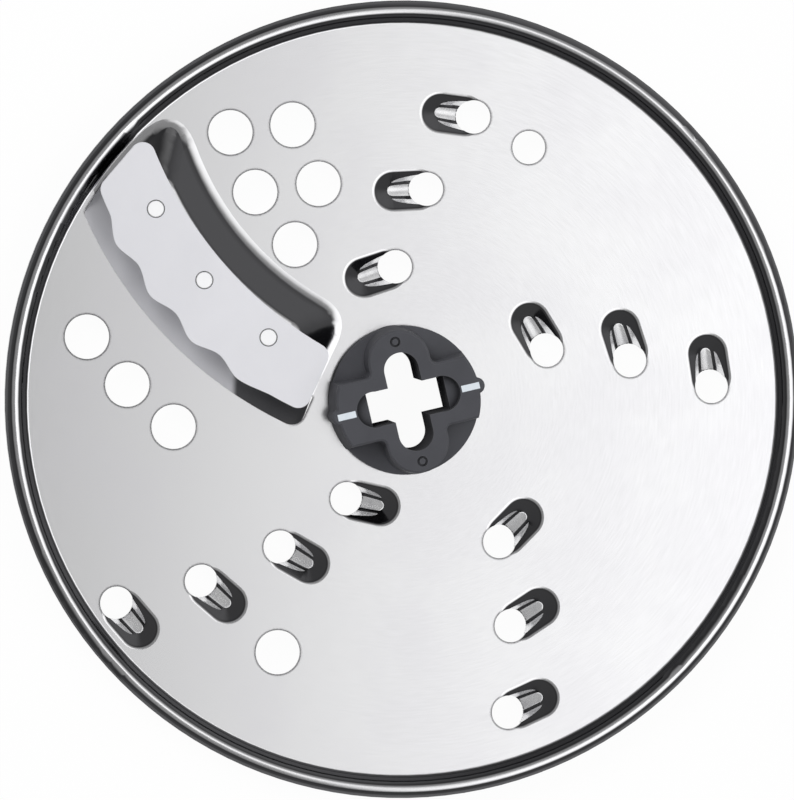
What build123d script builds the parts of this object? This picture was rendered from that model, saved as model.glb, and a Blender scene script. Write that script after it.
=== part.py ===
from build123d import *
import os
from math import acos, cos, degrees, hypot, log, radians, sin, tan

# A slicing and shredding disc for a food processor, in millimetres.
# The origin is on the drive axis at the foot of the hub. +Z is the slicing side.

# Sheet disc
DISC_DIAMETER = 165.0
SHEET = 0.8
SHEET_HEIGHT = 5.0
BORE_DIAMETER = 23.0
KEY_COUNT = 4
KEY_DIAMETER = 4.0

# Rim bead, rolled up from the sheet: a round crown between straight flanks, open below
CROWN_RADIUS = 2.0
CROWN_RISE = 2.0
CROWN_INSET = 2.0
FLANK_SLOPE = 55.0
FOOT_BEND = 0.8
RIM_DROP = 0.4

# Shredding teeth, each on a track of its own, in rows that follow a spiral
TOOTH_ROWS = 4
TOOTH_STATIONS = 5
TOOTH_FIRST_ROW = 3
TOOTH_INNER_RADIUS = 22.5
TOOTH_TRACK = 4.15
TOOTH_START_ANGLE = 113.4
TOOTH_SWIRL = 31.5
TOOTH_HOLE = 6.9
TOOTH_REACH = 7.0
DISH_RADIUS = 3.9
DISH_LENGTH = 5.0
DISH_DEPTH = 2.0
DISH_SLOPE = 35.0
DISH_BEND = 1.5
DISH_MARGIN = 0.8
TROUGH_START = -0.5
TROUGH_LIFT = 0.43
TROUGH_TILT = 10.5
TROUGH_LENGTH = 6.4
TROUGH_ROOT_RADIUS = 2.45
TROUGH_MOUTH_RADIUS = 3.1

# Drain holes in rows round the louver centre. Each row has a count, then its first and last hole
# as the distance behind the front of the platform and the angle about that centre.
DRAIN_HOLE = 9.2
REAR_DRAINS = (3, (27.0, 199.8), (24.9, 228.9))
FAR_DRAINS = (2, (39.5, 204.0), (37.3, 222.6))
FRONT_DRAINS = (3, (-19.7, 217.2), (-20.1, 232.2))

# Two lone holes across the drive axis from each other
PAIR_RIM_DISTANCE = 24.2
PAIR_ANGLE = 243.4
PAIR_LARGE_HOLE = 9.2
PAIR_SMALL_HOLE = 6.9

# Louver, laid out in arcs about a centre of its own near the rim
LOUVER_BEARING = 79.81
LOUVER_RIM_DISTANCE = 8.43
PLATFORM_FRONT_RADIUS = 79.0
LOUVER_DEPTH = 17.8
LOUVER_HEIGHT = 4.2
RAMP_SLOPE = 34.0
RAMP_FOOT_BEND = 5.0
RAMP_BROW_BEND = 2.0
LOUVER_HIP = 7.5
LOUVER_INNER_ANGLE = 245.0
LOUVER_RIM_GAP = 1.7

# Slot in front of the louver, and the guide lip bent down from its front edge
SLOT_WIDTH = 7.3
SLOT_INNER_ANGLE = 246.2
SLOT_RIM_GAP = 1.0
SLOT_CORNER = 3.0
SLOT_RIM_CORNER = 0.8
GUIDE_RUN = 8.5
GUIDE_SLOPE = 25.0

# Slicing blade, from its rear edge on the louver to a scalloped edge over the slot
BLADE_THICKNESS = 1.0
BLADE_WIDTH = 13.9
EDGE_OVERHANG = 3.6
BLADE_RIM_GAP = 0.4
BLADE_INNER_ANGLE = 245.6
BLADE_REAR_SAG = 1.2
BLADE_CORNER = 2.6
EDGE_INNER_ANGLE = 240.5
SCALLOP_LEAD = 5.4
SCALLOP_PITCH = 8.7
HEEL_ROOM = 3.0
SCALLOP_DEPTH = 1.7
BEVEL_OVERHANG = 0.6
EDGE_THICKNESS = 0.15

# Rivets
RIVET_COUNT = 3
RIVET_SETBACK = 6.2
RIVET_FIRST_ANGLE = 207.2
RIVET_PITCH = 14.0
RIVET_HEAD = 3.75
RIVET_SINK = 0.6
RIVET_SHANK = 2.6
RIVET_TAIL = 4.2
RIVET_TAIL_FACE = 2.8
RIVET_TAIL_HEIGHT = 0.9
RIVET_FIT = 0.02

# Drive hub
HUB_RISE = 11.0
HUB_TURN = 13.0
FLANGE_DIAMETER = 30.8
FLANGE_RISE = 3.0
FLANGE_DROP = 1.8
LAND_DIAMETER = 29.8
LAND_DRAFT = 4.0
LAND_ARM_WIDTH = 13.0
LAND_ARCH_WIDTH = 12.8
LAND_FILLET = 1.2
LAND_EDGE = 0.4
CONE_TOP_DIAMETER = 17.0
CONE_RISE = 3.6
BOSS_RADIUS = 1.7
BOSS_SETBACK = 0.5
ARM_LENGTH = 16.4
ARM_WIDTH = 7.2
LOBE_LENGTH = 20.6
LOBE_WIDTH = 7.2
RECESS_RADIUS = 3.7
RECESS_OFFSET = 7.2
RECESS_DEPTH = 2.0
RING_SETBACK = 2.3
RING_OUTER = 2.2
RING_INNER = 1.2
RING_DEPTH = 0.4

# Index marks inlaid in the hub
MARK_SETBACK = 1.8
MARK_LENGTH = 3.8
MARK_WIDTH = 1.35
MARK_SINK = 0.4
MARK_PROUD = 0.1
MARK_FIT = 0.02

# Levels, radii and counts that follow from the sizes above
UP = Vector(0, 0, 1)
STANDING = (Align.CENTER, Align.CENTER, Align.MIN)
DISC_RADIUS = DISC_DIAMETER / 2
SHEET_TOP = SHEET_HEIGHT + SHEET
PLATFORM_TOP = SHEET_TOP + LOUVER_HEIGHT
BLADE_TOP = PLATFORM_TOP + BLADE_THICKNESS
HUB_TOP = SHEET_TOP + HUB_RISE

FLANK_LEAN = tan(radians(FLANK_SLOPE))
FLANK_SINE = sin(radians(FLANK_SLOPE))
BEND_DROP = (CROWN_RADIUS + FOOT_BEND) * (1 - cos(radians(FLANK_SLOPE)))
FLANK_RUN = (CROWN_RISE - BEND_DROP) / FLANK_LEAN
WEB_RADIUS = DISC_RADIUS - CROWN_INSET - (CROWN_RADIUS + FOOT_BEND) * FLANK_SINE - FLANK_RUN

DISH_TAPER = 90 - DISH_SLOPE
TOOTH_SPAN = WEB_RADIUS - DISH_RADIUS - DISH_MARGIN - TOOTH_INNER_RADIUS
TOOTH_COUNT = 1 + int(TOOTH_SPAN / TOOTH_TRACK)

RAMP_RUN = LOUVER_HEIGHT / tan(radians(RAMP_SLOPE))
LOUVER_DISTANCE = DISC_RADIUS - LOUVER_RIM_DISTANCE
RAMP_FOOT_RADIUS = PLATFORM_FRONT_RADIUS - LOUVER_DEPTH
SLOT_FRONT_RADIUS = PLATFORM_FRONT_RADIUS + SLOT_WIDTH
LOUVER_FRONT_RADIUS = PLATFORM_FRONT_RADIUS + SLOT_WIDTH / 2
EDGE_RADIUS = PLATFORM_FRONT_RADIUS + EDGE_OVERHANG
BEVEL_RADIUS = PLATFORM_FRONT_RADIUS + BEVEL_OVERHANG
BLADE_REAR_RADIUS = EDGE_RADIUS - BLADE_WIDTH
BLADE_OUTER_RADIUS = WEB_RADIUS - BLADE_RIM_GAP
RIVET_RADIUS = PLATFORM_FRONT_RADIUS - RIVET_SETBACK

LAND_RADIUS = LAND_DIAMETER / 2
BOSS_OFFSET = LAND_RADIUS - BOSS_SETBACK
RING_OFFSET = LAND_RADIUS - RING_SETBACK
MARK_OFFSET = LAND_RADIUS - MARK_SETBACK


def polar(radius, angle, centre=Vector(0, 0)):
    """Point at a radius and an angle about a centre."""
    return centre + Vector(radius * cos(radians(angle)), radius * sin(radians(angle)))


LOUVER_CENTRE = polar(LOUVER_DISTANCE, LOUVER_BEARING)
LOUVER_SPOT = Pos(LOUVER_CENTRE)
LOUVER_AXIS = Axis(LOUVER_CENTRE, UP)


def louver_angle(radius, disc_radius):
    """Angle about the louver centre, near the rim, of the point at both radii."""
    square = disc_radius**2 - LOUVER_DISTANCE**2 - radius**2
    return LOUVER_BEARING + degrees(acos(square / (2 * radius * LOUVER_DISTANCE)))


def louver_arc(radius, start, end):
    """Arc about the louver centre from one angle to another."""
    middle = (start + end) / 2
    return ThreePointArc(
        polar(radius, start, LOUVER_CENTRE),
        polar(radius, middle, LOUVER_CENTRE),
        polar(radius, end, LOUVER_CENTRE),
    )


def rim_arc(radius, start, end):
    """Arc about the drive axis between two points at that radius."""
    middle = (start + end) / 2
    scale = radius / middle.length
    return ThreePointArc(start, middle * scale, end)


def louver_sector(rear_radius, front_radius, rim_radius, inner_angle):
    """Outline between two louver arcs, ended by the rim and by a line to the hub side."""
    front = louver_arc(front_radius, louver_angle(front_radius, rim_radius), inner_angle)
    rear = louver_arc(rear_radius, inner_angle, louver_angle(rear_radius, rim_radius))
    inner = Line(front @ 1, rear @ 0)
    outer = rim_arc(rim_radius, rear @ 1, front @ 0)
    return make_face([front, inner, rear, outer])


def rim():
    """Bead section turned about the drive axis."""
    bend_centre = Vector(WEB_RADIUS, SHEET_TOP + FOOT_BEND)
    crown_centre = Vector(DISC_RADIUS - CROWN_INSET, SHEET_TOP + CROWN_RISE - CROWN_RADIUS)
    foot = CenterArc(bend_centre, FOOT_BEND, 270, FLANK_SLOPE)
    crown = CenterArc(crown_centre, CROWN_RADIUS, 90 + FLANK_SLOPE, -2 * FLANK_SLOPE)
    shoulder = crown @ 1
    brow = shoulder.Y - (DISC_RADIUS - shoulder.X) * FLANK_LEAN

    half_turn = tan(radians(FLANK_SLOPE / 2))
    ceiling = SHEET_TOP + CROWN_RISE - SHEET
    ceiling_half = (CROWN_RADIUS - SHEET) * half_turn
    inside = DISC_RADIUS - SHEET
    inside_top = ceiling - (inside - crown_centre.X - ceiling_half) * FLANK_LEAN
    lip_level = SHEET_HEIGHT - RIM_DROP
    under = Polyline(
        shoulder,
        (DISC_RADIUS, brow),
        (DISC_RADIUS, lip_level),
        (inside, lip_level),
        (inside, inside_top),
        (crown_centre.X + ceiling_half, ceiling),
        (crown_centre.X - ceiling_half, ceiling),
        (WEB_RADIUS + (FOOT_BEND + SHEET) * half_turn, SHEET_HEIGHT),
        (WEB_RADIUS, SHEET_HEIGHT),
        foot @ 0,
    )
    section = make_face([foot, Line(foot @ 1, crown @ 0), crown, *under.edges()])
    return revolve(Plane.XZ * section, Axis.Z)


def behind_front(edges):
    """The edges that do not lie along the front of the louver, which the slot cuts off."""
    kept = []
    for edge in edges:
        middle = edge @ 0.5 - LOUVER_CENTRE
        if hypot(middle.X, middle.Y) < LOUVER_FRONT_RADIUS - SHEET:
            kept.append(edge)
    return kept


def louver_form(base, inset, hip, brow):
    """Raised form with three sloping sides and rounded hips, drawn in by an inset all round."""
    top = base + LOUVER_HEIGHT
    foot = RAMP_FOOT_RADIUS + inset
    rim_radius = WEB_RADIUS - LOUVER_RIM_GAP - inset
    ramp = Polyline(
        (foot, base),
        (foot + RAMP_RUN, top),
        (LOUVER_FRONT_RADIUS, top),
        (LOUVER_FRONT_RADIUS, base),
        close=True,
    )
    form = revolve(LOUVER_SPOT * (Plane.XZ * make_face(ramp)), LOUVER_AXIS)
    cone = Cone(rim_radius, rim_radius - RAMP_RUN, LOUVER_HEIGHT, align=STANDING)
    end = Polyline(
        (inset, base),
        (inset + RAMP_RUN, top),
        (DISC_DIAMETER, top),
        (DISC_DIAMETER, base),
        close=True,
    )
    along = polar(1, LOUVER_INNER_ANGLE)
    end_plane = Plane(LOUVER_CENTRE, x_dir=polar(1, LOUVER_INNER_ANGLE - 90), z_dir=-along)
    wedge = extrude(end_plane * make_face(end), -DISC_DIAMETER)
    form = form & (Pos(0, 0, base) * cone) & wedge
    hips = []
    for edge in form.edges():
        heights = sorted(point.Z for point in (edge @ 0, edge @ 1))
        if heights[1] - heights[0] > LOUVER_HEIGHT / 2:
            hips.append(edge)
    form = fillet(behind_front(hips), hip)
    ceiling = form.faces().filter_by(Axis.Z).sort_by(Axis.Z)[-1]
    return fillet(behind_front(ceiling.outer_wire().edges()), brow)


def louver_skin(level, depth):
    """Solid below one face of the sheet, at a depth under its upper face, with the louver in it."""
    inset = depth * tan(radians(RAMP_SLOPE / 2))
    raised = louver_form(level, inset, LOUVER_HIP - depth, RAMP_BROW_BEND - depth)
    solid = Pos(0, 0, level / 2) * Cylinder(WEB_RADIUS, level) + raised
    flat = solid.faces().filter_by(Axis.Z).sort_by(Axis.Z)[-2]
    return fillet(behind_front(flat.inner_wires()[0].edges()), RAMP_FOOT_BEND + depth)


def louvered_web():
    """Flat middle of the sheet with the raised louver, its slot and the guide lip."""
    web = louver_skin(SHEET_TOP, 0) - louver_skin(SHEET_HEIGHT, SHEET)
    return web - slot_form(PLATFORM_FRONT_RADIUS) + guide_lip()


def slot_form(rear_radius):
    """Upright form with the outline of the slot, from its front edge back to a radius."""
    slot_rim = WEB_RADIUS - SLOT_RIM_GAP
    outline = louver_sector(rear_radius, SLOT_FRONT_RADIUS, slot_rim, SLOT_INNER_ANGLE)
    inner_corner = polar(SLOT_FRONT_RADIUS, SLOT_INNER_ANGLE, LOUVER_CENTRE)
    outline = fillet(outline.vertices().sort_by_distance(inner_corner)[0], SLOT_CORNER)
    rim_angle = louver_angle(SLOT_FRONT_RADIUS, slot_rim)
    rim_corner = polar(SLOT_FRONT_RADIUS, rim_angle, LOUVER_CENTRE)
    outline = fillet(outline.vertices().sort_by_distance(rim_corner)[0], SLOT_RIM_CORNER)
    return extrude(outline, PLATFORM_TOP + SHEET)


def guide_lip():
    """Sheet bent down from the front edge of the slot to lead slices under the blade."""
    drop = GUIDE_RUN * tan(radians(GUIDE_SLOPE))
    lean = Vector(sin(radians(GUIDE_SLOPE)), -cos(radians(GUIDE_SLOPE))) * SHEET
    bend = Vector(SLOT_FRONT_RADIUS, SHEET_TOP)
    end = bend + Vector(-GUIDE_RUN, -drop)
    under = Vector(SLOT_FRONT_RADIUS + SHEET * tan(radians(GUIDE_SLOPE / 2)), SHEET_HEIGHT)
    section = make_face(Polyline(bend, end, end + lean, under, close=True))
    ring = revolve(LOUVER_SPOT * (Plane.XZ * section), LOUVER_AXIS)
    return ring & slot_form(SLOT_FRONT_RADIUS - GUIDE_RUN - SHEET)


def dish_outline(extra):
    """Round ended outline of a tooth's dish, along +X from its seat, grown by an extra."""
    return Pos(DISH_LENGTH / 2, 0) * SlotCenterToCenter(DISH_LENGTH, 2 * (DISH_RADIUS + extra))


def trough(extra):
    """Widening trough that sinks along +X from the dish to the cutting edge, grown by an extra."""
    root = TROUGH_ROOT_RADIUS + extra
    mouth = TROUGH_MOUTH_RADIUS + extra
    form = Cone(root, mouth, TROUGH_LENGTH, align=STANDING)
    return Pos(TROUGH_START, 0, TROUGH_LIFT) * Rot(0, 90 + TROUGH_TILT, 0) * form


def tooth():
    """Dish and trough pressed down from a patch of sheet, its seat at the origin on the top face."""
    below = Box(DISC_RADIUS, DISC_RADIUS, DISC_RADIUS, align=(Align.CENTER, Align.CENTER, Align.MAX))
    skirt = dish_outline(SHEET * tan(radians(DISH_SLOPE / 2)))
    patch = extrude(dish_outline(DISH_MARGIN), -SHEET)
    patch = patch + extrude(Pos(0, 0, -SHEET) * skirt, -DISH_DEPTH, taper=DISH_TAPER)
    patch = patch + (trough(SHEET) & below)
    patch = patch - extrude(dish_outline(0), -DISH_DEPTH, taper=DISH_TAPER) - trough(0)
    top = patch.faces().filter_by(Axis.Z).sort_by(Axis.Z)[-1]
    return fillet(top.inner_wires()[0].edges(), DISH_BEND)


def tooth_places():
    """Seats of the teeth, with +X of each along its cutting direction."""
    places = []
    for number in range(TOOTH_COUNT):
        radius = TOOTH_INNER_RADIUS + TOOTH_TRACK * number
        row = (number + TOOTH_FIRST_ROW) % TOOTH_ROWS
        angle = TOOTH_START_ANGLE - row * 360 / TOOTH_STATIONS
        angle = angle - TOOTH_SWIRL * log(radius / TOOTH_INNER_RADIUS)
        places.append(Rot(0, 0, angle) * Pos(radius, 0, SHEET_TOP) * Rot(0, 0, -90))
    return places


def bore_outline():
    """Central hole of the sheet, with round keys that hold the hub from turning."""
    outline = Circle(BORE_DIAMETER / 2)
    first_key = HUB_TURN + 180 / KEY_COUNT
    keys = PolarLocations(BORE_DIAMETER / 2, KEY_COUNT, start_angle=first_key)
    return outline + keys * Circle(KEY_DIAMETER / 2)


def drain_row(count, first, last):
    """Centres of a row of drain holes, evenly from the first to the last."""
    places = []
    for number in range(count):
        share = number / (count - 1)
        setback = first[0] + share * (last[0] - first[0])
        angle = first[1] + share * (last[1] - first[1])
        places.append(polar(PLATFORM_FRONT_RADIUS - setback, angle, LOUVER_CENTRE))
    return places


def round_holes():
    """Cutting forms of the drain holes and of the pair of lone holes."""
    forms = []
    for row in (REAR_DRAINS, FAR_DRAINS, FRONT_DRAINS):
        forms.extend(Pos(place) * Cylinder(DRAIN_HOLE / 2, HUB_TOP) for place in drain_row(*row))
    pair_radius = DISC_RADIUS - PAIR_RIM_DISTANCE
    forms.append(Pos(polar(pair_radius, PAIR_ANGLE)) * Cylinder(PAIR_LARGE_HOLE / 2, HUB_TOP))
    forms.append(Pos(polar(pair_radius, PAIR_ANGLE - 180)) * Cylinder(PAIR_SMALL_HOLE / 2, HUB_TOP))
    return forms


def disc_plate():
    """Stamped sheet with rim, louver, teeth and holes."""
    plate = louvered_web() + rim()
    teeth = tooth_places()
    plate = plate - [place * extrude(dish_outline(DISH_MARGIN), -2 * SHEET, both=True) for place in teeth]
    form = tooth()
    plate = plate + [place * form for place in teeth]
    cuts = [place * Pos(TOOTH_REACH, 0, 0) * Cylinder(TOOTH_HOLE / 2, HUB_TOP) for place in teeth]
    cuts.extend(round_holes())
    cuts.append(extrude(bore_outline(), HUB_TOP))
    cuts.extend(rivet_forms(RIVET_FIT))
    return plate - cuts


def scallops(heel_angle):
    """Points and directions along the cutting edge, from the hub side to the last hollow."""
    first_crest = EDGE_INNER_ANGLE - SCALLOP_LEAD
    room = first_crest - SCALLOP_PITCH / 2 - HEEL_ROOM - heel_angle
    angles = [EDGE_INNER_ANGLE]
    radii = [EDGE_RADIUS]
    for number in range(1 + int(room / SCALLOP_PITCH)):
        crest = first_crest - number * SCALLOP_PITCH
        angles.extend([crest, crest - SCALLOP_PITCH / 2])
        radii.extend([EDGE_RADIUS + SCALLOP_DEPTH / 2, EDGE_RADIUS - SCALLOP_DEPTH / 2])
    points = [polar(radius, angle, LOUVER_CENTRE) for radius, angle in zip(radii, angles)]
    directions = [polar(1, angle - 90) for angle in angles]
    return points, directions, angles[-1]


def slicing_blade():
    """Curved flat blade with a scalloped edge, bevelled from below."""
    tip_radius = EDGE_RADIUS - SCALLOP_DEPTH / 2
    heel_angle = louver_angle(tip_radius, BLADE_OUTER_RADIUS)
    points, directions, last_angle = scallops(heel_angle)
    edge = Spline(*points, tangents=directions)
    toe = louver_arc(EDGE_RADIUS, BLADE_INNER_ANGLE, EDGE_INNER_ANGLE)
    heel = louver_arc(tip_radius, last_angle, heel_angle)
    rear_start = louver_angle(BLADE_REAR_RADIUS, BLADE_OUTER_RADIUS)
    rear = ThreePointArc(
        polar(BLADE_REAR_RADIUS, rear_start, LOUVER_CENTRE),
        polar(BLADE_REAR_RADIUS - BLADE_REAR_SAG, (rear_start + BLADE_INNER_ANGLE) / 2, LOUVER_CENTRE),
        polar(BLADE_REAR_RADIUS, BLADE_INNER_ANGLE, LOUVER_CENTRE),
    )
    outer = Line(heel @ 1, rear @ 0)
    inner = Line(rear @ 1, toe @ 0)
    outline = make_face([toe, edge, heel, outer, rear, inner])
    corners = [toe @ 0, heel @ 1, rear @ 0, rear @ 1]
    sharp = [outline.vertices().sort_by_distance(corner)[0] for corner in corners]
    outline = fillet(sharp, BLADE_CORNER)
    blade = extrude(Pos(0, 0, PLATFORM_TOP) * outline, BLADE_THICKNESS, dir=UP)
    crest_radius = EDGE_RADIUS + SCALLOP_DEPTH / 2
    beyond = EDGE_RADIUS + BLADE_WIDTH
    bevel_section = make_face(
        Polyline(
            (BEVEL_RADIUS, PLATFORM_TOP),
            (crest_radius, BLADE_TOP - EDGE_THICKNESS),
            (beyond, BLADE_TOP - EDGE_THICKNESS),
            (beyond, PLATFORM_TOP - BLADE_THICKNESS),
            (BEVEL_RADIUS, PLATFORM_TOP - BLADE_THICKNESS),
            close=True,
        )
    )
    bevel = revolve(LOUVER_SPOT * (Plane.XZ * bevel_section), LOUVER_AXIS)
    return blade - bevel - rivet_forms(RIVET_FIT)


def rivet_forms(fit):
    """Rivets with a sunk flush head and a set tail, grown by a fit all round."""
    head = RIVET_HEAD / 2 + fit
    shank = RIVET_SHANK / 2 + fit
    tail = RIVET_TAIL / 2 + fit
    seat_level = PLATFORM_TOP - SHEET
    top_level = BLADE_TOP + fit
    sink_level = BLADE_TOP - RIVET_SINK
    tail_level = seat_level - RIVET_TAIL_HEIGHT
    outline = Polyline(
        (0, top_level),
        (head, top_level),
        (shank, sink_level),
        (shank, seat_level),
        (tail, seat_level),
        (RIVET_TAIL_FACE / 2 + fit, tail_level),
        (0, tail_level),
        close=True,
    )
    form = revolve(Plane.XZ * make_face(outline), Axis.Z)
    forms = []
    for number in range(RIVET_COUNT):
        centre = polar(RIVET_RADIUS, RIVET_FIRST_ANGLE + number * RIVET_PITCH, LOUVER_CENTRE)
        forms.append(Pos(centre) * form)
    return forms


def land(height, draft):
    """Raised cross on a hub face: broad arms and round arches that meet in rounded corners."""
    arch = Rot(0, 0, 90) * SlotCenterToCenter(LAND_DIAMETER - LAND_ARCH_WIDTH, LAND_ARCH_WIDTH)
    arms = Rectangle(LAND_DIAMETER, LAND_ARM_WIDTH) & Circle(LAND_RADIUS)
    crest = Pos(0, 0, height)
    cross = extrude(crest * arch, -height, taper=-draft) + extrude(crest * arms, -height, taper=-draft)
    corners = []
    for edge in cross.edges():
        middle = edge @ 0.5
        rise = abs((edge @ 0).Z - (edge @ 1).Z)
        if rise > height / 2 and hypot(middle.X, middle.Y) < LAND_RADIUS - LAND_FILLET:
            corners.append(edge)
    return fillet(corners, LAND_FILLET)


def socket_outline():
    """Cross-shaped drive hole: square arms and round lobes."""
    arms = Rectangle(ARM_LENGTH, ARM_WIDTH)
    lobes = Rot(0, 0, 90) * SlotCenterToCenter(LOBE_LENGTH - LOBE_WIDTH, LOBE_WIDTH)
    return arms + lobes


def hub_side(flange, height, draft):
    """One face of the hub, from the sheet up: flange, raised cross and two pointer bosses."""
    bosses = [Pos(side * BOSS_OFFSET, 0) * Circle(BOSS_RADIUS) for side in (-1, 1)]
    face = extrude(Circle(FLANGE_DIAMETER / 2), flange)
    return face + land(height, draft) + [extrude(boss, height) for boss in bosses]


def drive_hub():
    """Plastic hub moulded through the bore of the sheet."""
    upper = hub_side(FLANGE_RISE, HUB_RISE, LAND_DRAFT)
    crest = upper.faces().filter_by(Axis.Z).sort_by(Axis.Z)[-1]
    upper = Pos(0, 0, SHEET_TOP) * chamfer(crest.outer_wire().edges(), LAND_EDGE)
    shoulder_level = SHEET_TOP + FLANGE_RISE + CONE_RISE / 2
    shoulder = Pos(0, 0, shoulder_level) * Cone(FLANGE_DIAMETER / 2, CONE_TOP_DIAMETER / 2, CONE_RISE)
    lower = Pos(0, 0, SHEET_HEIGHT) * Rot(180, 0, 0) * hub_side(FLANGE_DROP, SHEET_HEIGHT, 0)
    body = upper + shoulder + lower
    cuts = [extrude(socket_outline(), HUB_TOP)]
    for side in (-1, 1):
        recess = Pos(side * RECESS_OFFSET, 0, HUB_TOP) * Circle(RECESS_RADIUS)
        ring = Pos(0, side * RING_OFFSET, HUB_TOP) * (Circle(RING_OUTER / 2) - Circle(RING_INNER / 2))
        cuts.append(extrude(recess, -RECESS_DEPTH))
        cuts.append(extrude(ring, -RING_DEPTH))
    neck = extrude(Pos(0, 0, SHEET_HEIGHT) * bore_outline(), SHEET)
    turned = Rot(0, 0, HUB_TURN) * (body - cuts)
    socket = Rot(0, 0, HUB_TURN) * cuts[0]
    return turned + (neck - socket) - mark_forms(MARK_FIT)


def mark_forms(fit):
    """Two bars inlaid in the upper face of the hub, grown by a fit all round."""
    height = MARK_SINK + MARK_PROUD + fit
    level = HUB_TOP - MARK_SINK - fit + height / 2
    bar = Box(MARK_LENGTH + 2 * fit, MARK_WIDTH + 2 * fit, height)
    forms = []
    for side in (-1, 1):
        forms.append(Rot(0, 0, HUB_TURN) * Pos(side * MARK_OFFSET, 0, level) * bar)
    return forms


def main():
    """Build every piece and write it to its own file."""
    nodes = {
        "disc_plate": disc_plate(),
        "slicing_blade": slicing_blade(),
        "blade_rivets": Compound(rivet_forms(0)),
        "drive_hub": drive_hub(),
        "index_marks": Compound(mark_forms(0)),
    }
    os.makedirs("parts", exist_ok=True)
    for name, piece in nodes.items():
        export_step(piece, f"parts/{name}.step")


main()
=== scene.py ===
import logging
import math
from abc import ABC, abstractmethod
from collections.abc import Callable, Sequence
from dataclasses import dataclass
from enum import Enum, IntEnum
from typing import Any

import bpy
from mathutils import Matrix, Vector

# A slicing and shredding disc, dressed in steel and moulded plastic, on a pale studio floor.
# Lengths are metres, and a name that ends in _deg holds degrees.
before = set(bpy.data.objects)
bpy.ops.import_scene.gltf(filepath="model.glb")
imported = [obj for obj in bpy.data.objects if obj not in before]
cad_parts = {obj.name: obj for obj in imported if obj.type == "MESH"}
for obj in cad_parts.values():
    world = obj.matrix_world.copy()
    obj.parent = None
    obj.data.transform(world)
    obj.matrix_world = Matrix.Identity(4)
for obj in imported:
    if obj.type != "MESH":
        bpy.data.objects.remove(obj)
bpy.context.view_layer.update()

LOG = logging.getLogger("disc")
MM = 0.001
WHITE = (1.0, 1.0, 1.0, 1.0)
QUARTER_TURN_DEG = 90.0

Triple = tuple[float, float, float]
Colour = Triple
Node = bpy.types.Node
Socket = bpy.types.NodeSocket
Facet = bpy.types.MeshPolygon


class Lay(Enum):
    """Which way the fine lines of a finish run."""

    STRAIGHT = "straight"
    TURNED = "turned"


class SheetSlot(IntEnum):
    """The finishes of the sheet, numbered as its material slots."""

    SHEET = 0
    LIP = 1
    TROUGH = 2


class HubSlot(IntEnum):
    """The finishes of the hub, numbered as its material slots."""

    HUB = 0
    SOCKET = 1


class Sketch:
    """Adds nodes to one node tree and wires them."""

    def __init__(self, tree: bpy.types.NodeTree) -> None:
        """Keeps the tree that the nodes go into: a material's, a world's or a group's."""
        self.tree = tree

    def add(self, kind: str, values: dict[Any, Any] | None = None, **options: Any) -> Node:
        """Adds a node.

        Args:
            kind: The node's type, without the ShaderNode part.
            values: Values or source sockets for its inputs, by name or number.
            options: Properties of the node itself.

        Returns:
            The new node.
        """
        node = self.tree.nodes.new("ShaderNode" + kind)
        for name, option in options.items():
            setattr(node, name, option)
        for key, value in (values or {}).items():
            self.feed(node.inputs[key], value)
        return node

    def feed(self, target: Socket, value: Any) -> None:
        """Links a socket, or sets its plain value.

        Args:
            target: The input socket.
            value: An output socket to link from, or a value to keep.
        """
        if isinstance(value, bpy.types.NodeSocket):
            self.tree.links.new(value, target)
        else:
            target.default_value = value

    def math(self, operation: str, *values: Any) -> Socket:
        """Adds a Math node.

        Args:
            operation: What it does, such as MULTIPLY.
            values: Its numbers or source sockets.

        Returns:
            The result's socket.
        """
        return self.add("Math", dict(enumerate(values)), operation=operation).outputs[0]

    def vector_math(self, operation: str, *values: Any) -> Node:
        """Adds a Vector Math node.

        Args:
            operation: What it does, such as DOT_PRODUCT.
            values: Its vectors or source sockets.

        Returns:
            The node, with its outputs Vector and Value.
        """
        return self.add("VectorMath", dict(enumerate(values)), operation=operation)

    def ramp(self, value: Socket, low: float, high: float, start: float = 0.0, end: float = 1.0) -> Socket:
        """Maps a value smoothly from one range to another and holds it at both ends.

        Args:
            value: The source socket.
            low: Where the change begins.
            high: Where the change is complete.
            start: Result at and below low.
            end: Result at and above high.

        Returns:
            The result's socket.
        """
        values = {0: value, 1: low, 2: high, 3: start, 4: end}
        return self.add("MapRange", values, interpolation_type="SMOOTHSTEP").outputs[0]

    def blend(self, share: Socket, first: Any, second: Any) -> Socket:
        """Mixes two colours.

        Args:
            share: How much of the second colour shows.
            first: Colour or socket.
            second: Colour or socket.

        Returns:
            The mixed colour's socket.
        """
        values = {"Factor_Float": share, "A_Color": opaque(first), "B_Color": opaque(second)}
        node = self.add("Mix", data_type="RGBA")
        inputs = {socket.identifier: socket for socket in node.inputs}
        for name, value in values.items():
            self.feed(inputs[name], value)
        return next(socket for socket in node.outputs if socket.identifier == "Result_Color")

    def group(self, tree: bpy.types.NodeTree, values: dict[str, Any]) -> Socket:
        """Places a node group.

        Args:
            tree: The group.
            values: Its inputs by name.

        Returns:
            The socket of the group's one output.
        """
        node = self.add("Group", node_tree=tree)
        for key, value in values.items():
            self.feed(node.inputs[key], value)
        return node.outputs[0]


def opaque(colour: Any) -> Any:
    """Gives a plain colour its alpha and leaves a socket as it is."""
    return colour if isinstance(colour, bpy.types.NodeSocket) else (*colour, 1.0)


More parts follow.
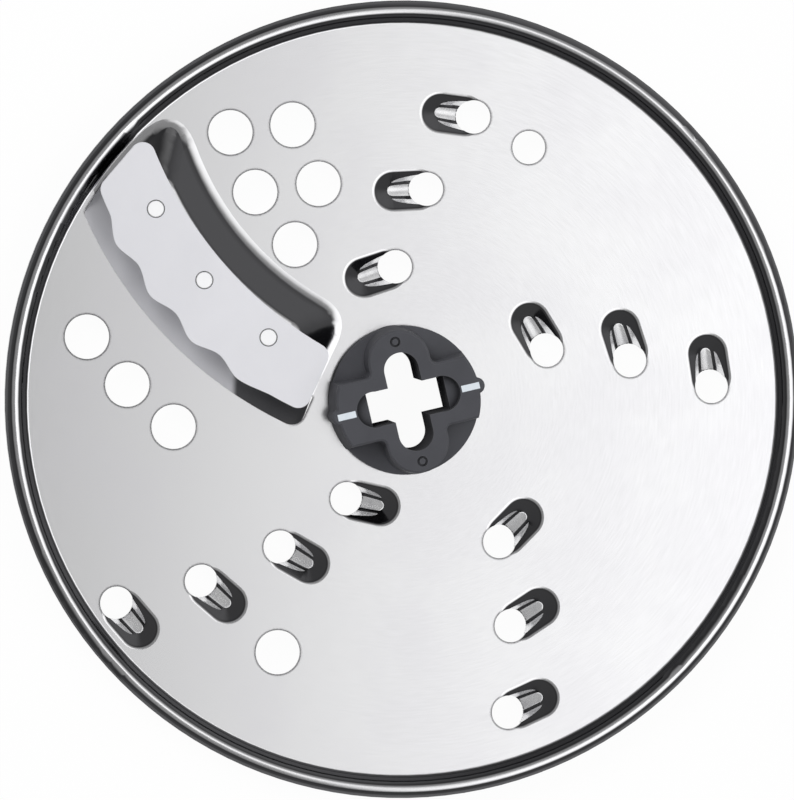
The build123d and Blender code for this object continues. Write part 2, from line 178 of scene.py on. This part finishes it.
class Effects:
    """The node groups that more than one finish uses, each built once."""

    LINE_DETAIL = 4.0
    LINE_ROUGHNESS = 0.6
    CLOUD_DETAIL = 3.0
    CLOUD_SWIRL = 0.4
    CLOUD_START = 0.32
    CLOUD_FULL = 0.68
    EDGE_SAMPLES = 6
    EDGE_FULL = 0.88
    EDGE_START = 0.995
    SHADE_SAMPLES = 8
    SHADE_DEPTH = 0.5

    def __init__(self) -> None:
        """Builds every group."""
        self.fine_lines = self.build_fine_lines()
        self.clouding = self.build_clouding()
        self.edges = self.build_edges()
        self.recess_shade = self.build_recess_shade()

    @staticmethod
    def start(name: str, inputs: dict[str, str], output: str) -> tuple[Sketch, dict[str, Socket], Socket]:
        """Makes an empty group with its sockets.

        Args:
            name: The group's name.
            inputs: Socket type of each input, by name.
            output: Name of its one output, a value.

        Returns:
            A sketch of the group, what comes in by name, and the socket that takes the result.
        """
        tree = bpy.data.node_groups.new(name, "ShaderNodeTree")
        for label, kind in inputs.items():
            tree.interface.new_socket(label, in_out="INPUT", socket_type=kind)
        tree.interface.new_socket(output, in_out="OUTPUT", socket_type="NodeSocketFloat")
        source = tree.nodes.new("NodeGroupInput")
        sink = tree.nodes.new("NodeGroupOutput")
        return Sketch(tree), {label: source.outputs[label] for label in inputs}, sink.inputs[output]

    def build_fine_lines(self) -> bpy.types.NodeTree:
        """Noise drawn out along one direction, as polishing belts leave it.

        Returns:
            The group, with inputs Place, Along and Across and output Lines.
        """
        inputs = {"Place": "NodeSocketVector", "Along": "NodeSocketFloat", "Across": "NodeSocketFloat"}
        sketch, given, result = self.start("fine_lines", inputs, "Lines")
        stretch = sketch.add("CombineXYZ", {"X": given["Along"], "Y": given["Across"], "Z": given["Across"]})
        place = sketch.vector_math("MULTIPLY", given["Place"], stretch.outputs[0]).outputs["Vector"]
        values = {"Vector": place, "Scale": 1.0, "Detail": self.LINE_DETAIL, "Roughness": self.LINE_ROUGHNESS}
        sketch.feed(result, sketch.add("TexNoise", values).outputs[0])
        return sketch.tree

    def build_clouding(self) -> bpy.types.NodeTree:
        """Slow uneven patches, as handling and washing leave them.

        Returns:
            The group, with inputs Place and Scale and output Cloud.
        """
        inputs = {"Place": "NodeSocketVector", "Scale": "NodeSocketFloat"}
        sketch, given, result = self.start("clouding", inputs, "Cloud")
        values = {
            "Vector": given["Place"],
            "Scale": given["Scale"],
            "Detail": self.CLOUD_DETAIL,
            "Distortion": self.CLOUD_SWIRL,
        }
        noise = sketch.add("TexNoise", values).outputs[0]
        sketch.feed(result, sketch.ramp(noise, self.CLOUD_START, self.CLOUD_FULL))
        return sketch.tree

    def build_edges(self) -> bpy.types.NodeTree:
        """A mask of the sharp edges, where the painted edge lines go: painted shade on most finishes, painted
        highlight on the hub plastics.

        Returns:
            The group, with input Radius and output Edge.
        """
        sketch, given, result = self.start("edges", {"Radius": "NodeSocketFloat"}, "Edge")
        rounded = sketch.add("Bevel", {"Radius": given["Radius"]}, samples=self.EDGE_SAMPLES).outputs[0]
        own = sketch.add("NewGeometry").outputs["Normal"]
        turn = sketch.vector_math("DOT_PRODUCT", rounded, own).outputs["Value"]
        sketch.feed(result, sketch.ramp(turn, self.EDGE_FULL, self.EDGE_START, 1.0, 0.0))
        return sketch.tree

    def build_recess_shade(self) -> bpy.types.NodeTree:
        """A mask of recesses and corners, where painted shade darkens the colour and the surface grows
        rougher.

        Returns:
            The group, with inputs Reach and Onset and output Shelter.
        """
        inputs = {"Reach": "NodeSocketFloat", "Onset": "NodeSocketFloat"}
        sketch, given, result = self.start("recess_shade", inputs, "Recess_Shade")
        openness = sketch.add("AmbientOcclusion", {"Distance": given["Reach"]}, samples=self.SHADE_SAMPLES)
        depth = sketch.math("SUBTRACT", given["Onset"], openness.outputs["AO"])
        sketch.feed(result, sketch.ramp(depth, 0.0, self.SHADE_DEPTH))
        return sketch.tree


def new_material(name: str) -> tuple[bpy.types.Material, Sketch, Node, Socket]:
    """Starts a material with one Principled shader.

    Args:
        name: The material's name.

    Returns:
        The material, a sketch of its nodes, its shader and the place on the object.
    """
    material = bpy.data.materials.new(name)
    material.use_nodes = True
    sketch = Sketch(material.node_tree)
    shader = material.node_tree.nodes["Principled BSDF"]
    place = sketch.add("TexCoord").outputs["Object"]
    return material, sketch, shader, place


@dataclass(frozen=True, kw_only=True)
class Finish(ABC):
    """What every finish has: a clouded colour, painted edge lines, painted shade and more roughness in
    recesses, and a fine texture.
    """

    name: str
    colour: Colour
    cloud_colour: Colour
    cloud_scale: float
    # Colour of the painted edge lines: painted shade on most finishes, painted highlight on the hub plastics.
    painted_edge_colour: Colour
    edge_radius: float
    # Painted shade in recesses and corners: its colour, and how far and how soon that mask reaches.
    painted_shade_colour: Colour
    shade_reach: float
    shade_onset: float
    smooth: float
    rough: float
    dullness: float
    texture_depth: float

    @abstractmethod
    def build(self, effects: Effects) -> bpy.types.Material:
        """Makes the material out of the shared node groups."""

    def masks(self, sketch: Sketch, place: Socket, effects: Effects) -> tuple[Socket, Socket, Socket]:
        """Places the groups that every finish uses.

        Args:
            sketch: The material's sketch.
            place: Place on the object.
            effects: The shared node groups.

        Returns:
            The masks of clouds, of edges and of recesses.
        """
        cloud = sketch.group(effects.clouding, {"Place": place, "Scale": self.cloud_scale})
        edge = sketch.group(effects.edges, {"Radius": self.edge_radius})
        recess_shade = sketch.group(effects.recess_shade, {"Reach": self.shade_reach, "Onset": self.shade_onset})
        return cloud, edge, recess_shade

    def roughen(self, sketch: Sketch, shader: Node, texture: Socket) -> None:
        """Raises the fine texture on the surface.

        Args:
            sketch: The material's sketch.
            shader: The material's shader.
            texture: Height of the texture.
        """
        bump = sketch.add("Bump", {"Height": texture, "Distance": self.texture_depth, "Strength": 1.0})
        sketch.feed(shader.inputs["Normal"], bump.outputs[0])


@dataclass(frozen=True)
class SteepWallShade:
    """A darker colour painted on the steep walls of pressed forms: painted shade in place of the dark
    reflection they show.
    """

    colour: Colour
    flat_deg: float
    steep_deg: float

    def share(self, sketch: Sketch) -> Socket:
        """Works out how much of the walls' colour shows.

        Args:
            sketch: The material's sketch.

        Returns:
            The share's socket: none where the surface lies flat, all of it where it is steep.
        """
        normal = sketch.add("SeparateXYZ", {0: sketch.add("NewGeometry").outputs["Normal"]})
        upright = sketch.math("ABSOLUTE", normal.outputs["Z"])
        flat = math.cos(math.radians(self.flat_deg))
        steep = math.cos(math.radians(self.steep_deg))
        return sketch.ramp(upright, steep, flat, 1.0, 0.0)


@dataclass(frozen=True)
class InnerEndShade:
    """A dark colour that takes over toward the drive axis: painted shade where a surface faces the dark hub.
    """

    colour: Colour
    full: float
    end: float

    def share(self, sketch: Sketch, place: Socket) -> Socket:
        """Works out how much of the inner end's colour shows.

        Args:
            sketch: The material's sketch.
            place: Place on the object.

        Returns:
            The share's socket: all of it near the axis, none far from it.
        """
        level = sketch.vector_math("MULTIPLY", place, (1.0, 1.0, 0.0)).outputs["Vector"]
        radius = sketch.vector_math("LENGTH", level).outputs["Value"]
        return sketch.ramp(radius, self.full, self.end, 1.0, 0.0)


@dataclass(frozen=True, kw_only=True)
class SteelFinish(Finish):
    """Bare stainless steel, satin to bright."""

    lay: Lay
    along: float
    across: float
    metal: float
    cloud_share: float = 0.15
    polish_start: float = 0.25
    # Painted shade on steep walls.
    walls: SteepWallShade | None = None
    # Painted shade toward the drive axis.
    inner_end: InnerEndShade | None = None

    def build(self, effects: Effects) -> bpy.types.Material:
        """Makes the material.

        Args:
            effects: The shared node groups.

        Returns:
            The new material.
        """
        material, sketch, shader, place = new_material(self.name)
        cloud, edge, recess_shade = self.masks(sketch, place, effects)
        drawn = self.turned(sketch, place) if self.lay is Lay.TURNED else place
        values = {"Place": drawn, "Along": self.along, "Across": self.across}
        lines = sketch.group(effects.fine_lines, values)
        tint = sketch.blend(cloud, self.colour, self.cloud_colour)
        # Painted shade: darker colour on the steep walls.
        if self.walls is not None:
            tint = sketch.blend(self.walls.share(sketch), tint, self.walls.colour)
        # Painted shade toward the drive axis.
        if self.inner_end is not None:
            tint = sketch.blend(self.inner_end.share(sketch, place), tint, self.inner_end.colour)
        # Painted shade in recesses and corners.
        tint = sketch.blend(recess_shade, tint, self.painted_shade_colour)
        # Painted shade lines along the sharp edges.
        sketch.feed(shader.inputs["Base Color"], sketch.blend(edge, tint, self.painted_edge_colour))
        uneven = sketch.math("MULTIPLY_ADD", cloud, self.cloud_share, lines)
        satin = sketch.ramp(uneven, self.polish_start, 1.0, self.smooth, self.rough)
        deep = sketch.math("MULTIPLY", recess_shade, recess_shade)
        sketch.feed(shader.inputs["Roughness"], sketch.math("MULTIPLY_ADD", deep, self.dullness, satin))
        shader.inputs["Metallic"].default_value = self.metal
        self.roughen(sketch, shader, lines)
        return material

    @staticmethod
    def turned(sketch: Sketch, place: Socket) -> Socket:
        """Unrolls places about the drive axis, so that straight lines lie round it.

        Args:
            sketch: The material's sketch.
            place: Place on the object.

        Returns:
            Arc angle, radius and height as one vector.
        """
        x, y, z = sketch.add("SeparateXYZ", {0: place}).outputs
        angle = sketch.math("ARCTAN2", y, x)
        square = sketch.math("MULTIPLY_ADD", y, y, sketch.math("MULTIPLY", x, x))
        radius = sketch.math("SQRT", square)
        return sketch.add("CombineXYZ", {"X": angle, "Y": radius, "Z": z}).outputs[0]


@dataclass(frozen=True, kw_only=True)
class PlasticFinish(Finish):
    """Moulded plastic with a fine spark-eroded grain."""

    grain: float
    sheen: float

    def build(self, effects: Effects) -> bpy.types.Material:
        """Makes the material.

        Args:
            effects: The shared node groups.

        Returns:
            The new material.
        """
        material, sketch, shader, place = new_material(self.name)
        cloud, edge, recess_shade = self.masks(sketch, place, effects)
        values = {"Place": place, "Along": self.grain, "Across": self.grain}
        grain = sketch.group(effects.fine_lines, values)
        tint = sketch.blend(cloud, self.colour, self.cloud_colour)
        # Painted shade in recesses and corners.
        tint = sketch.blend(recess_shade, tint, self.painted_shade_colour)
        # Painted edge lines: painted highlight on the hub plastics, painted shade on the marks.
        sketch.feed(shader.inputs["Base Color"], sketch.blend(edge, tint, self.painted_edge_colour))
        satin = sketch.ramp(cloud, 0.0, 1.0, self.smooth, self.rough)
        sketch.feed(shader.inputs["Roughness"], sketch.math("MULTIPLY_ADD", recess_shade, self.dullness, satin))
        shader.inputs["Specular IOR Level"].default_value = self.sheen
        self.roughen(sketch, shader, grain)
        return material


SHEET_STEEL = SteelFinish(
    name="satin_sheet_steel",
    colour=(0.80, 0.80, 0.81),
    cloud_colour=(0.79, 0.787, 0.805),
    cloud_scale=38.0,
    # Painted shade along the sheet's sharp edges, as dark hole outlines.
    painted_edge_colour=(0.04, 0.04, 0.045),
    edge_radius=0.95 * MM,
    # Painted shade in the sheet's recesses.
    painted_shade_colour=(0.45, 0.45, 0.46),
    shade_reach=4.0 * MM,
    shade_onset=0.50,
    smooth=0.15,
    rough=0.20,
    dullness=0.1,
    texture_depth=0.4e-6,
    lay=Lay.TURNED,
    along=14.0,
    across=2600.0,
    metal=1.0,
    # Painted shade on the sheet's steep walls.
    walls=SteepWallShade((0.085, 0.085, 0.089), flat_deg=12.0, steep_deg=23.0),
)
# The troughs are the same sheet steel, rougher from drawing; their lighter, partly matt colour is painted
# light for the bright reflections in them.
TROUGH_STEEL = SteelFinish(
    name="drawn_lit_trough_steel",
    colour=(0.92, 0.92, 0.93),
    cloud_colour=(0.78, 0.78, 0.80),
    cloud_scale=420.0,
    # Painted shade along the troughs' sharp edges.
    painted_edge_colour=(0.70, 0.70, 0.71),
    edge_radius=0.25 * MM,
    # Painted shade in the troughs' recesses.
    painted_shade_colour=(0.50, 0.50, 0.51),
    shade_reach=3.0 * MM,
    shade_onset=0.40,
    smooth=0.20,
    rough=0.36,
    dullness=0.1,
    texture_depth=1.5e-6,
    lay=Lay.STRAIGHT,
    along=1400.0,
    across=1400.0,
    metal=0.75,
)
# The guide lip is the same sheet steel: matt, with a darker colour painted as the shade under the blade.
LIP_STEEL = SteelFinish(
    name="matt_shaded_lip_steel",
    colour=(0.64, 0.64, 0.67),
    cloud_colour=(0.62, 0.62, 0.65),
    cloud_scale=60.0,
    # Painted shade along the lip's sharp edges.
    painted_edge_colour=(0.10, 0.10, 0.11),
    edge_radius=0.3 * MM,
    # Painted shade in the lip's recesses, under the blade.
    painted_shade_colour=(0.55, 0.55, 0.58),
    shade_reach=5.0 * MM,
    shade_onset=0.60,
    smooth=0.50,
    rough=0.60,
    dullness=0.1,
    texture_depth=0.6e-6,
    lay=Lay.STRAIGHT,
    along=900.0,
    across=900.0,
    metal=0.35,
    # Painted shade at the slot's inner end, toward the hub.
    inner_end=InnerEndShade((0.075, 0.075, 0.080), full=34.4 * MM, end=36.0 * MM),
)
BLADE_STEEL = SteelFinish(
    name="ground_blade_steel",
    colour=(0.88, 0.88, 0.92),
    cloud_colour=(0.86, 0.86, 0.90),
    cloud_scale=60.0,
    # Painted shade along the blade's sharp edges.
    painted_edge_colour=(0.70, 0.70, 0.73),
    edge_radius=0.2 * MM,
    # Painted shade in the blade's recesses.
    painted_shade_colour=(0.42, 0.42, 0.44),
    shade_reach=4.0 * MM,
    shade_onset=0.85,
    smooth=0.30,
    rough=0.38,
    dullness=0.2,
    texture_depth=0.5e-6,
    lay=Lay.STRAIGHT,
    along=2200.0,
    across=260.0,
    metal=0.55,
)
RIVET_STEEL = SteelFinish(
    name="flush_rivet_steel",
    colour=(0.97, 0.97, 0.98),
    cloud_colour=(0.95, 0.95, 0.97),
    cloud_scale=220.0,
    # Painted shade ring round the rivet heads.
    painted_edge_colour=(0.03, 0.03, 0.035),
    edge_radius=0.45 * MM,
    # Painted shade round the rivets.
    painted_shade_colour=(0.30, 0.30, 0.31),
    shade_reach=2.0 * MM,
    shade_onset=0.85,
    smooth=0.32,
    rough=0.40,
    dullness=0.2,
    texture_depth=0.4e-6,
    lay=Lay.STRAIGHT,
    along=1500.0,
    across=1500.0,
    metal=0.10,
)
HUB_PLASTIC = PlasticFinish(
    name="black_hub_plastic",
    colour=(0.064, 0.065, 0.074),
    cloud_colour=(0.072, 0.073, 0.083),
    cloud_scale=140.0,
    # Painted highlight along the hub's sharp edges.
    painted_edge_colour=(0.085, 0.087, 0.095),
    edge_radius=0.3 * MM,
    # Painted shade in the hub's recesses and at the foot of its lands.
    painted_shade_colour=(0.012, 0.012, 0.014),
    shade_reach=4.0 * MM,
    shade_onset=0.80,
    smooth=0.42,
    rough=0.52,
    dullness=0.3,
    texture_depth=3.0e-6,
    grain=4200.0,
    sheen=0.25,
)
SOCKET_PLASTIC = PlasticFinish(
    name="matt_socket_plastic",
    colour=(0.075, 0.075, 0.080),
    cloud_colour=(0.082, 0.082, 0.088),
    cloud_scale=140.0,
    # Painted highlight along the socket's sharp edges.
    painted_edge_colour=(0.095, 0.096, 0.102),
    edge_radius=0.3 * MM,
    # Painted shade in the socket's recesses.
    painted_shade_colour=(0.045, 0.045, 0.050),
    shade_reach=4.0 * MM,
    shade_onset=0.80,
    smooth=0.70,
    rough=0.80,
    dullness=0.1,
    texture_depth=3.0e-6,
    grain=4200.0,
    sheen=0.0,
)
MARK_PLASTIC = PlasticFinish(
    name="pale_mark_plastic",
    colour=(0.74, 0.79, 0.84),
    cloud_colour=(0.70, 0.76, 0.82),
    cloud_scale=420.0,
    # Painted shade along the marks' edges.
    painted_edge_colour=(0.62, 0.68, 0.74),
    edge_radius=0.15 * MM,
    # Painted shade where the marks sit in their pockets.
    painted_shade_colour=(0.40, 0.43, 0.46),
    shade_reach=1.0 * MM,
    shade_onset=0.80,
    smooth=0.38,
    rough=0.48,
    dullness=0.2,
    texture_depth=2.0e-6,
    grain=5200.0,
    sheen=0.4,
)


def dress(
    node: str,
    finishes: Sequence[Finish],
    effects: Effects,
    slot: Callable[[Facet], int] | None = None,
) -> None:
    """Gives a node its finishes.

    Args:
        node: The node's name.
        finishes: The finishes in the order of the material slots.
        effects: The shared node groups.
        slot: Tells which slot a facet wears, where there is more than one.
    """
    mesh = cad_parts[node].data
    mesh.materials.clear()
    for finish in finishes:
        mesh.materials.append(finish.build(effects))
        LOG.info("%s wears %s", node, finish.name)
    if slot is not None:
        for facet in mesh.polygons:
            facet.material_index = int(slot(facet))


@dataclass(frozen=True)
class Patch:
    """A rectangle seen from above."""

    low: tuple[float, float]
    high: tuple[float, float]

    def holds(self, point: Vector) -> bool:
        """Tells whether a point lies over the rectangle."""
        return all(low < value < high for low, value, high in zip(self.low, point.xy, self.high))


@dataclass
class SteelDisc:
    """The stamped sheet with its rim, louver and shredding teeth."""

    sheet_node: str = "disc_plate"
    blade_node: str = "slicing_blade"
    sheet_finish: Finish = SHEET_STEEL
    lip_finish: Finish = LIP_STEEL
    trough_finish: Finish = TROUGH_STEEL
    sheet_level: float = 5.8 * MM
    level_margin: float = 0.1 * MM
    blade_margin: float = 5.0 * MM
    lip_tilts_deg: tuple[float, float] = (15.0, 35.0)
    web_radius: float = 78.0 * MM
    dish_depth: float = 0.8 * MM
    dish_tilts_deg: tuple[float, float] = (28.0, 44.0)

    def dress(self, effects: Effects) -> None:
        """Gives the sheet, the guide lip in front of the blade and the troughs of the teeth their finishes.

        Args:
            effects: The shared node groups.
        """
        finishes = {
            SheetSlot.SHEET: self.sheet_finish,
            SheetSlot.LIP: self.lip_finish,
            SheetSlot.TROUGH: self.trough_finish,
        }
        patch = self.blade_patch()
        ordered = [finishes[slot] for slot in SheetSlot]
        dress(self.sheet_node, ordered, effects, lambda facet: self.slot(facet, patch))

    def blade_patch(self) -> Patch:
        """Finds where the slot and its lip can lie.

        Returns:
            The blade's own extent, widened to the side that its edge faces.
        """
        across, along, _ = zip(*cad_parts[self.blade_node].bound_box)
        low = (min(across) - self.blade_margin, min(along) - self.blade_margin)
        return Patch(low, (max(across), max(along)))

    def slot(self, facet: Facet, patch: Patch) -> SheetSlot:
        """Tells which finish a facet of the sheet wears.

        Args:
            facet: A facet of the sheet.
            patch: Where the lip can lie.

        Returns:
            The lip's slot on gentle slopes below the sheet near the blade, the troughs' slot on what is
            flatter or steeper than the wall of a tooth's dish, and else the sheet's.
        """
        tilt_deg = math.degrees(math.acos(max(-1.0, min(1.0, facet.normal.z))))
        depth = self.sheet_level - facet.center.z
        if patch.holds(facet.center):
            least, most = self.lip_tilts_deg
            on_lip = depth > self.level_margin and least < tilt_deg < most
            return SheetSlot.LIP if on_lip else SheetSlot.SHEET
        least, most = self.dish_tilts_deg
        in_dish = depth > self.dish_depth and facet.center.xy.length < self.web_radius
        on_dish_wall = least < tilt_deg < most
        in_trough = in_dish and tilt_deg < QUARTER_TURN_DEG and not on_dish_wall
        return SheetSlot.TROUGH if in_trough else SheetSlot.SHEET


@dataclass
class SlicingBlade:
    """The scalloped blade and the rivets that hold it."""

    blade_node: str = "slicing_blade"
    rivet_node: str = "blade_rivets"
    blade_finish: Finish = BLADE_STEEL
    rivet_finish: Finish = RIVET_STEEL

    def dress(self, effects: Effects) -> None:
        """Gives blade and rivets their finishes."""
        dress(self.blade_node, [self.blade_finish], effects)
        dress(self.rivet_node, [self.rivet_finish], effects)


@dataclass
class DriveHub:
    """The plastic hub with its drive socket and index marks."""

    hub_node: str = "drive_hub"
    mark_node: str = "index_marks"
    hub_finish: Finish = HUB_PLASTIC
    socket_finish: Finish = SOCKET_PLASTIC
    mark_finish: Finish = MARK_PLASTIC
    socket_reach: float = 10.6 * MM
    wall_lean: float = 0.1

    def dress(self, effects: Effects) -> None:
        """Gives hub and marks their finishes, and the walls of the drive socket a matt one.

        Args:
            effects: The shared node groups.
        """
        finishes = {HubSlot.HUB: self.hub_finish, HubSlot.SOCKET: self.socket_finish}
        dress(self.hub_node, [finishes[slot] for slot in HubSlot], effects, self.slot)
        dress(self.mark_node, [self.mark_finish], effects)

    def slot(self, facet: Facet) -> HubSlot:
        """Tells which finish a facet of the hub wears.

        Args:
            facet: A facet of the hub.

        Returns:
            The socket's slot on an upright wall near the drive axis that faces it, and else the hub's.
        """
        near = facet.center.xy.length < self.socket_reach
        inward = facet.normal.xy.dot(facet.center.xy) < 0.0
        upright = abs(facet.normal.z) < self.wall_lean
        return HubSlot.SOCKET if near and inward and upright else HubSlot.HUB


@dataclass
class Floor:
    """A wide pale floor that stays white to the eye and to metal, with a faint shadow."""

    half_size: float = 8.0
    colour: Colour = (0.92, 0.92, 0.92)
    white_share: float = 0.95

    def build(self) -> None:
        """Makes the floor and its material."""
        mesh = bpy.data.meshes.new("floor")
        half = self.half_size
        corners = [(-half, -half, 0.0), (half, -half, 0.0), (half, half, 0.0), (-half, half, 0.0)]
        mesh.from_pydata(corners, [], [(0, 1, 2, 3)])
        floor = bpy.data.objects.new("floor", mesh)
        bpy.context.scene.collection.objects.link(floor)
        mesh.materials.append(self.material())

    def material(self) -> bpy.types.Material:
        """Makes the floor's material: plain white to direct and mirrored sight, else a pale matt.

        Returns:
            The new material.
        """
        material = bpy.data.materials.new("pale_floor")
        material.use_nodes = True
        nodes = material.node_tree.nodes
        nodes.remove(nodes["Principled BSDF"])
        sketch = Sketch(material.node_tree)
        path = sketch.add("LightPath").outputs
        seen = sketch.math("MAXIMUM", path["Is Camera Ray"], path["Is Glossy Ray"])
        seen = sketch.math("MAXIMUM", seen, path["Is Transmission Ray"])
        share = sketch.math("MULTIPLY", seen, self.white_share)
        matt = sketch.add("BsdfDiffuse", {"Color": opaque(self.colour)})
        white = sketch.add("Emission", {"Color": WHITE, "Strength": 1.0})
        mixed = sketch.add("MixShader", {0: share, 1: matt.outputs[0], 2: white.outputs[0]})
        sketch.feed(nodes["Material Output"].inputs["Surface"], mixed.outputs[0])
        return material


@dataclass
class SoftLight:
    """A soft overhead panel in a dimmer room, laid out as slopes away from straight up."""

    left_start: float = 0.035
    left_full: float = 0.13
    right_full: float = 0.22
    right_end: float = 1.90
    top_full: float = 0.0
    top_end: float = 0.36
    bottom_full: float = 0.25
    bottom_end: float = 1.10
    strength: float = 1.155
    surroundings: float = 0.265
    window: float = 0.45
    window_side: Triple = (0.707, 0.707, 0.0)
    window_start: float = 0.50
    window_full: float = 0.90
    horizon: float = 0.20
    horizon_full: float = 0.30
    horizon_end: float = 0.80
    least_height: float = 0.05

    def build(self) -> None:
        """Makes the world that holds the panel, the room, a window and a pale horizon."""
        world = bpy.data.worlds.new("studio")
        world.use_nodes = True
        bpy.context.scene.world = world
        sketch = Sketch(world.node_tree)
        direction = sketch.add("TexCoord").outputs["Generated"]
        x, y, z = sketch.add("SeparateXYZ", {0: direction}).outputs
        sideways = sketch.vector_math("DOT_PRODUCT", direction, self.window_side).outputs["Value"]
        glows = (
            sketch.ramp(sideways, self.window_start, self.window_full, 0.0, self.window),
            sketch.ramp(z, self.horizon_full, self.horizon_end, self.horizon, 0.0),
        )
        level = sketch.math("ADD", self.panel(sketch, x, y, z), self.surroundings)
        for glow in glows:
            level = sketch.math("ADD", level, glow)
        background = world.node_tree.nodes["Background"]
        sketch.feed(background.inputs["Strength"], level)
        background.inputs["Color"].default_value = WHITE

    def panel(self, sketch: Sketch, x: Socket, y: Socket, z: Socket) -> Socket:
        """Lays out the panel with a soft limit on each side.

        Args:
            sketch: The world's sketch.
            x: How far a direction points right.
            y: How far it points to the top of the picture.
            z: How far it points up.

        Returns:
            The panel's brightness in that direction.
        """
        height = sketch.math("MAXIMUM", z, self.least_height)
        across = sketch.math("DIVIDE", x, height)
        along = sketch.math("DIVIDE", y, height)
        brightness = sketch.ramp(across, self.left_start, self.left_full, 0.0, self.strength)
        limits = (
            sketch.ramp(across, self.right_full, self.right_end, 1.0, 0.0),
            sketch.ramp(along, self.top_full, self.top_end, 1.0, 0.0),
            sketch.ramp(along, -self.bottom_end, -self.bottom_full),
        )
        for limit in limits:
            brightness = sketch.math("MULTIPLY", limit, brightness)
        return brightness


@dataclass
class Lamp:
    """A soft lamp that lights matt surfaces and leaves no patch in the steel."""

    name: str
    place: Triple
    power: float
    size: float

    def build(self) -> None:
        """Makes the lamp and aims it at the drive axis."""
        data = bpy.data.lights.new(self.name, "AREA")
        data.energy = self.power
        data.size = self.size
        lamp = bpy.data.objects.new(self.name, data)
        lamp.location = self.place
        lamp.rotation_mode = "QUATERNION"
        lamp.rotation_quaternion = (-Vector(self.place)).to_track_quat("-Z", "Y")
        lamp.visible_glossy = False
        lamp.visible_camera = False
        bpy.context.scene.collection.objects.link(lamp)


LAMPS = (
    Lamp("key_lamp", place=(-0.55, 0.60, 0.95), power=7.0, size=0.7),
    Lamp("fill_lamp", place=(0.75, -0.45, 0.80), power=3.7, size=0.9),
)


@dataclass
class Viewpoint:
    """The camera: almost straight down, tipped a little to the left and to the top."""

    tilt_deg: float = 6.2
    toward: Triple = (-0.944, 0.331, 0.0)
    distance: float = 1.8
    aim: Triple = (-1.45 * MM, 0.0, 7.0 * MM)
    picture_height: float = 165.3 * MM
    sensor: float = 36.0
    farthest: float = 100.0

    def build(self) -> None:
        """Makes the camera and gives it to the scene."""
        data = bpy.data.cameras.new("viewpoint")
        data.sensor_width = self.sensor
        data.lens = self.sensor * self.distance / self.picture_height
        data.clip_end = self.farthest
        camera = bpy.data.objects.new("viewpoint", data)
        tilt = math.radians(self.tilt_deg)
        back = Vector(self.toward).normalized() * math.sin(tilt) + Vector((0.0, 0.0, math.cos(tilt)))
        camera.location = Vector(self.aim) + back * self.distance
        right = Vector((0.0, 1.0, 0.0)).cross(back).normalized()
        upright = Matrix((right, back.cross(right), back)).transposed()
        camera.rotation_mode = "QUATERNION"
        camera.rotation_quaternion = upright.to_quaternion()
        bpy.context.scene.collection.objects.link(camera)
        bpy.context.scene.camera = camera


def main() -> None:
    """Dresses the part and sets the studio round it."""
    logging.basicConfig(level=logging.INFO, format="%(name)s: %(message)s")
    bpy.context.scene.view_settings.view_transform = "Standard"
    effects = Effects()
    for assembly in (SteelDisc(), SlicingBlade(), DriveHub()):
        assembly.dress(effects)
        LOG.info("%s is dressed", type(assembly).__name__)
    for fitting in (Floor(), SoftLight(), *LAMPS, Viewpoint()):
        fitting.build()
        LOG.info("%s is in place", type(fitting).__name__)


if __name__ == "__main__":
    main()
